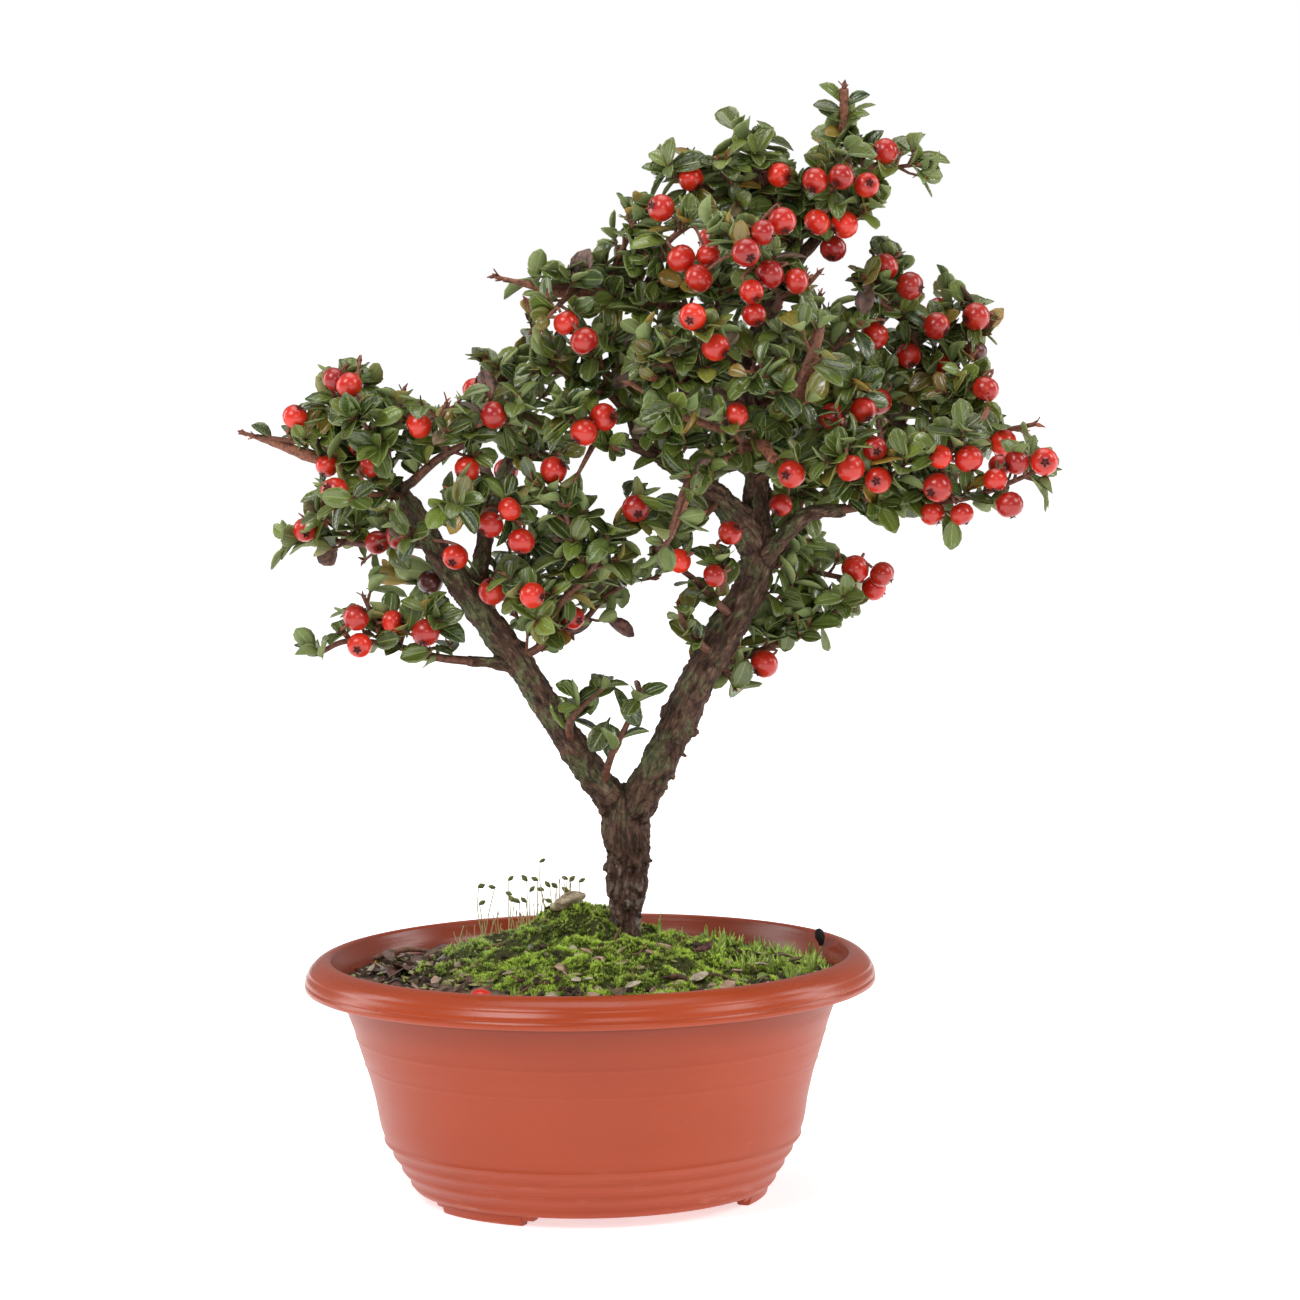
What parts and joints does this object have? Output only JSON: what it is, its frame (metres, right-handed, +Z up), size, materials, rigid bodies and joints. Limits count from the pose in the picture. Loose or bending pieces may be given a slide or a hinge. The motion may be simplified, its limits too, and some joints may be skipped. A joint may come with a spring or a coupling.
{
  "type": "cotoneaster bonsai",
  "caption": "Forked cotoneaster bonsai with small leathery leaves and red berries, rooted in a mossy mound in a round plastic bowl with a rolled rim.",
  "frame": {"origin": "middle of the bounding box at the level that the pot stands on; the pot's own axis is 23 mm towards -X of it", "axes": "+Z up the tree, +X to the right in the picture, +Y away from the viewer, along the shortest side"},
  "size_m": [0.3018, 0.21, 0.4179],
  "materials": {
    "terracotta_plastic": "semi-matt moulded plastic",
    "potting_soil": "loose and rough",
    "moss": "soft and tufted",
    "bark": "rough flaky bark",
    "leaves": "glossy leathery leaf",
    "berries": "glossy skin",
    "stone": "weathered"
  },
  "bodies": {
    "root": {"arch_left_berries": "berries", "arch_left_leaves": "leaves", "arch_up_leaves": "leaves", "back_bough_berries": "berries", "back_bough_leaves": "leaves", "back_right_berries": "berries", "back_right_leaves": "leaves", "back_top_berries": "berries", "back_top_leaves": "leaves", "fork_left_leaves": "leaves", "fork_right_leaves": "leaves", "front_hanging_leaves": "leaves", "front_left_leaves": "leaves", "front_right_berries": "berries", "front_right_leaves": "leaves", "front_rise_leaves": "leaves", "inner_right_berries": "berries", "inner_right_leaves": "leaves", "leader_berries": "berries", "leader_leaves": "leaves", "left_core_berries": "berries", "left_core_leaves": "leaves", "left_cross_leaves": "leaves", "left_crown_berries": "berries", "left_crown_leaves": "leaves", "left_front_leaves": "leaves", "left_inner_berries": "berries", "left_inner_leaves": "leaves", "left_low_berries": "berries", "left_low_leaves": "leaves", "left_middle_berries": "berries", "left_middle_leaves": "leaves", "left_rear_berries": "berries", "left_rear_leaves": "leaves", "left_tip_berries": "berries", "left_tip_leaves": "leaves", "left_under_leaves": "leaves", "limb_shoot_leaves": "leaves", "limb_shoot_up_leaves": "leaves", "low_right_leaves": "leaves", "low_right_up_berries": "berries", "low_right_up_leaves": "leaves", "moss": "moss", "pot": "terracotta_plastic", "rear_low_leaves": "leaves", "rear_top_berries": "berries", "rear_top_leaves": "leaves", "right_tip_berries": "berries", "right_tip_leaves": "leaves", "soil": "potting_soil", "stone": "stone", "top_left_berries": "berries", "top_left_leaves": "leaves", "trunk": "bark", "upper_front_berries": "berries", "upper_front_leaves": "leaves", "upper_left_berries": "berries", "upper_left_leaves": "leaves"}
  },
  "joints": []
}
